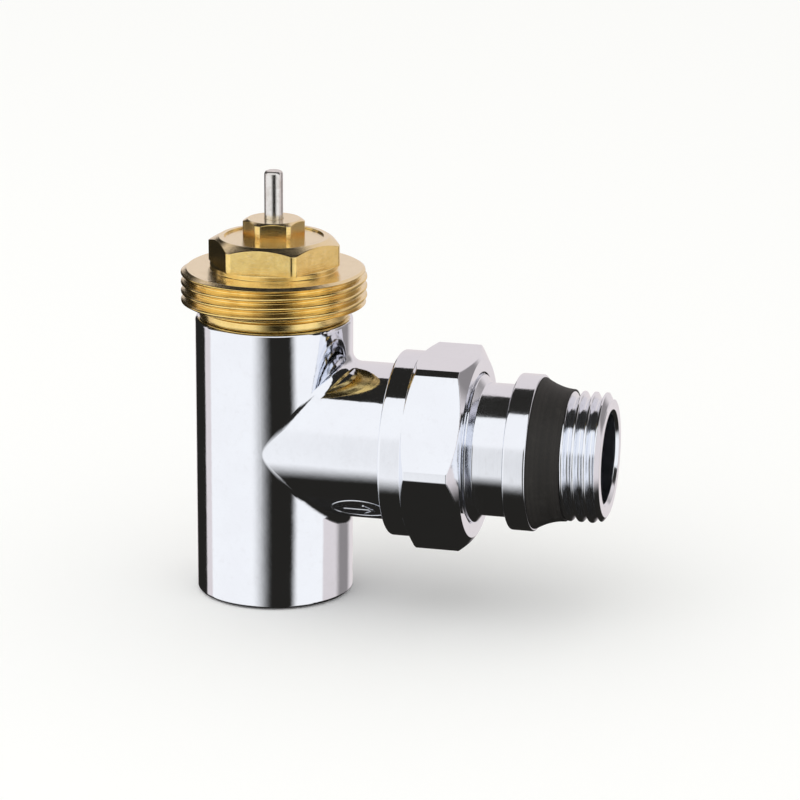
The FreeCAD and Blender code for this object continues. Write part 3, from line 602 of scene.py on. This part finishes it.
def insert_shape(along, radius, angle):
    in_flange = (along > flange_low - 0.01) & (along < flange_top + 0.01)
    threaded = in_flange & (radius > HEAD_ROOT - 0.05)
    cut = thread_depth(along, angle, flange_low + 0.45, HEAD_PITCH)
    grooved = HEAD_CREST - (HEAD_CREST - HEAD_ROOT) * cut
    out = np.where(threaded, soft_min(radius, grooved, 0.05), radius)
    hexed = soft_min(out, hexagon(INSERT_ACROSS, INSERT_CORNER_ANGLE, angle, 0.10), 0.08)
    return np.where((along > hex_low - 0.01) & (radius > 7.0), hexed, out)


insert_path = trace([
    (insert_low, CHAMBER, 0.06), (insert_low, STUB, 0.1), (stub_top, STUB, 0.1),
    (stub_top, PLUG, 0.05), (plug_top, PLUG, 0.05), (plug_top, PLUG_NECK, 0.03),
    (body_top, PLUG_NECK, 0.05), (body_top, SHOULDER, 0.74),
    (shoulder_top, SHOULDER, 0.74), (shoulder_top, RELIEF, 0.06),
    (flange_low, RELIEF, 0.10), (flange_low, HEAD_CREST - 0.05, 0.12),
    (flange_low + 0.1, HEAD_CREST, 0.05),
    (flange_top - HEAD_LEAD * TAN30, HEAD_CREST, 0.08),
    (flange_top, HEAD_CREST - HEAD_LEAD, 0.10),
    (flange_top, INSERT_BOSS, 0.14), (hex_low, INSERT_BOSS, 0.05),
    (hex_low + 0.02, INSERT_CORNER, 0.08),
    (insert_top - (INSERT_CORNER - INSERT_FACE) * TAN30, INSERT_CORNER, 0.12),
    (insert_top, INSERT_FACE, 0.12), (insert_top, DISH_RADIUS, 0.08),
    (dish_floor, DISH_RADIUS, 0.08), (dish_floor, GLAND_WELL, 0.05),
    (gland_floor, GLAND_WELL, 0.05), (gland_floor, STEM_BORE, 0.05),
    (chamber_top, STEM_BORE, 0.05), (chamber_top, CHAMBER, 0.05),
    (insert_low + 1.1, CHAMBER, 0.05), (insert_low + 1.1, CLIP_GROOVE, 0.05),
    (insert_low + 0.35, CLIP_GROOVE, 0.05), (insert_low + 0.35, CHAMBER, 0.05),
], 0.12)
insert = lathe("valve_insert_piece", insert_path, 540, "z", 0.0, insert_shape)
fit(insert, "valve", "brass", brass, "valve_insert")

# ---------------------------------------------------------------- gland nut and pin

PIN_HEAD_STAND = 0.8
PIN_HEAD_HEIGHT = 0.8
PIN_TIP_ROUND = 0.8
GLAND_ACROSS = 9.0
GLAND_CORNER_ANGLE = 14.0
GLAND_CORNER = 4.976
GLAND_FACE = 4.2
GLAND_SHANK = 3.54
GLAND_HEX_HEIGHT = 3.2
POCKET_DEPTH = 2.8
pin_low, pin_top = pin_box[0].z / MM, pin_box[1].z / MM
pin_head = pin_box[1].x / MM
pin_radius = pin_head - PIN_HEAD_STAND
pin_bore = pin_radius + 0.05
pocket = pin_radius + 1.4
gland_low, gland_top = gland_box[0].z / MM, gland_box[1].z / MM
gland_seat = gland_top - GLAND_HEX_HEIGHT
pocket_top = gland_low + POCKET_DEPTH


def gland_shape(along, radius, angle):
    hexed = soft_min(radius, hexagon(GLAND_ACROSS, GLAND_CORNER_ANGLE, angle, 0.08), 0.06)
    return np.where((along > gland_seat - 0.01) & (radius > 3.7), hexed, radius)


gland_path = trace([
    (gland_low, pocket, 0.05), (gland_low, GLAND_SHANK, 0.05), (gland_seat, GLAND_SHANK, 0.05),
    (gland_seat, GLAND_CORNER, 0.06),
    (gland_top - (GLAND_CORNER - GLAND_FACE) * TAN30, GLAND_CORNER, 0.08),
    (gland_top, GLAND_FACE, 0.12), (gland_top, pin_bore, 0.10), (pocket_top, pin_bore, 0.05),
    (pocket_top, pocket, 0.05),
], 0.12)
gland = lathe("gland_nut_piece", gland_path, 360, "z", 0.0, gland_shape)
fit(gland, "valve", "brass", brass_gland, "gland_nut")

pin_path = trace([
    (pin_low, 0.0, 0), (pin_low, pin_head, 0.08), (pin_low + PIN_HEAD_HEIGHT, pin_head, 0.08),
    (pin_low + PIN_HEAD_HEIGHT, pin_radius, 0.08), (pin_top, pin_radius, PIN_TIP_ROUND),
    (pin_top, 0.0, 0),
], 0.3, closed=False)
pin = lathe("spindle_pin_piece", pin_path, 96, "z", closed=False)
fit(pin, "spindle", "steel", pin_steel, "spindle_pin")

# ---------------------------------------------------------------- return spring

spring_low, spring_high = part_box("return_spring")
travel = next(j for j in frame["joints"] if j["name"] == "pin_press")["range_m"][1]
spring = bpy.data.objects.new("return_spring_piece", frame["nodes"]["return_spring"].data.copy())
spring.data.materials.clear()
bpy.context.scene.collection.objects.link(spring)
fit(spring, "valve", "spring_steel", spring_steel, "return_spring")
1 - travel / (spring_high.z - spring_low.z)
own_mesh(spring)

# ---------------------------------------------------------------- cast flow mark on the branch

BRANCH_RADIUS = 12.65
MARK_ALONG = 16.6
MARK_ARC = 10.2
MARK_WIDTH = 0.42
MARK_RISE = 0.10
ARROW_TIP = MARK_ALONG + 2.4
oval = [(MARK_ALONG + 4.5 * math.cos(t), MARK_ARC + 2.5 * math.sin(t))
        for t in np.linspace(0, 2 * math.pi, 72, endpoint=False)]
shaft = [(MARK_ALONG + s, MARK_ARC) for s in np.linspace(-2.6, 2.2, 12)]
barb_up = [(ARROW_TIP - s, MARK_ARC - s * 0.8) for s in np.linspace(0, 1.7, 6)]
barb_down = [(ARROW_TIP - s, MARK_ARC + s * 0.8) for s in np.linspace(0, 1.7, 6)]
for name, line, closed in (("flow_oval", oval, True), ("flow_shaft", shaft, False),
                           ("flow_barb_upper", barb_up, False),
                           ("flow_barb_lower", barb_down, False)):
    mark = ridge(name, line, closed, MARK_WIDTH, MARK_RISE, BRANCH_RADIUS, bore_height)
    fit(mark, "valve", "chrome", chrome_cast)

# ---------------------------------------------------------------- floor, lamp and surroundings

REACH = 6.0
FLOOR_DROP = 0.0002
LAMP_PLACE = (-0.35, -0.55, 0.75)
LAMP_AIM = (0.02, 0, 0.03)
floor_mesh = bpy.data.meshes.new("floor")
floor_mesh.from_pydata([(-REACH, -REACH, 0), (REACH, -REACH, 0), (REACH, REACH, 0),
                        (-REACH, REACH, 0)], [], [(0, 1, 2, 3)])
floor = bpy.data.objects.new("floor", floor_mesh)
bpy.context.scene.collection.objects.link(floor)
floor.location = (0, 0, cad_low.z - FLOOR_DROP)
floor.visible_glossy = False
floor_finish, floor_graph = material("pale_floor")
surface(floor_graph, {"Base Color": rgb(0.97, 0.97, 0.96), "Roughness": 0.9,
                      "Specular IOR Level": 0.0})
floor_mesh.materials.append(floor_finish)

lamp_data = bpy.data.lights.new("soft_lamp", "AREA")
lamp_data.shape = "DISK"
lamp_data.size = 0.9
lamp_data.energy = 1.2
lamp = bpy.data.objects.new("soft_lamp", lamp_data)
bpy.context.scene.collection.objects.link(lamp)
lamp.location = LAMP_PLACE
lamp.rotation_euler = (Vector(LAMP_AIM) - lamp.location).to_track_quat("-Z", "Y").to_euler()
lamp.visible_glossy = False


def surroundings():
    """A studio by direction: white in front, pale behind, black flags, black below."""
    world = bpy.data.worlds.new("studio")
    bpy.context.scene.world = world
    world.use_nodes = True
    graph = Graph(world.node_tree)
    x, y, z = graph.split(graph.node("ShaderNodeTexCoord", None, None, out="Generated"))
    degrees = 180 / math.pi
    heading = x.math("ARCTAN2", y * -1.0) * degrees
    over = z.math("ARCTAN2", y * -1.0) * degrees
    rise = z.math("ARCSINE") * degrees
    behind = y.rise(-0.02, 0.05)
    low_front = rise.rise(-24.0, -50.0)
    low_back = rise.rise(-18.0, -30.0)
    below = low_front * (1.0 - behind) + low_back * behind
    overhead = over.band(73.0, 121.0, 1.2) * rise.rise(2.0, 8.0)
    front_flag = heading.rise(-20.0, 12.0) * heading.rise(50.0, 37.0) * rise.rise(24.0, 14.0)
    left_flag = heading.band(-147.0, -108.0, 5.0) * rise.rise(40.0, 26.0)
    right_flag = heading.band(130.0, 148.0, 16.0) * rise.rise(34.0, 10.0) * 0.66
    cover = below
    for flag in (overhead, front_flag, left_flag, right_flag):
        cover = cover.math("MAXIMUM", flag)
    sky = graph.mix(behind, rgb(1.0, 1.0, 1.0), rgb(0.78, 0.72, 0.72))
    mirror = graph.mix(cover, sky, rgb(0.019, 0.018, 0.016))
    path = graph.node("ShaderNodeLightPath").socket.node.outputs
    seen = Signal(graph, path["Is Camera Ray"])
    glossy = Signal(graph, path["Is Glossy Ray"])
    shown = graph.mix(glossy, rgb(0.965, 0.965, 0.955), mirror)
    shown = graph.mix(seen, shown, rgb(1.0, 1.0, 0.975))
    back = graph.node("ShaderNodeBackground", None, {"Color": shown, "Strength": 1.0})
    graph.node("ShaderNodeOutputWorld", None, {"Surface": back})


surroundings()
bpy.context.scene.view_settings.view_transform = "Standard"

# ---------------------------------------------------------------- camera

HEADING, RISE, ROLL = math.radians(14.0), math.radians(16.1), math.radians(0.37)
AIM = Vector((0.021, 0.0, 0.0331))
DISTANCE = 0.541
back = Vector((math.sin(HEADING) * math.cos(RISE), -math.cos(HEADING) * math.cos(RISE),
               math.sin(RISE)))
right = Vector((math.cos(HEADING), math.sin(HEADING), 0))
up = back.cross(right)
tilted_right = right * math.cos(ROLL) + up * math.sin(ROLL)
tilted_up = up * math.cos(ROLL) - right * math.sin(ROLL)
camera_data = bpy.data.cameras.new("camera")
camera_data.sensor_width = 36.0
camera_data.lens = 151.3
camera_data.clip_start, camera_data.clip_end = 0.01, 20.0
camera = bpy.data.objects.new("camera", camera_data)
bpy.context.scene.collection.objects.link(camera)
camera.matrix_world = Matrix.Translation(AIM + back * DISTANCE) @ Matrix(
    (tilted_right, tilted_up, back)).transposed().to_4x4()
bpy.context.scene.camera = camera

bpy.context.view_layer.update()
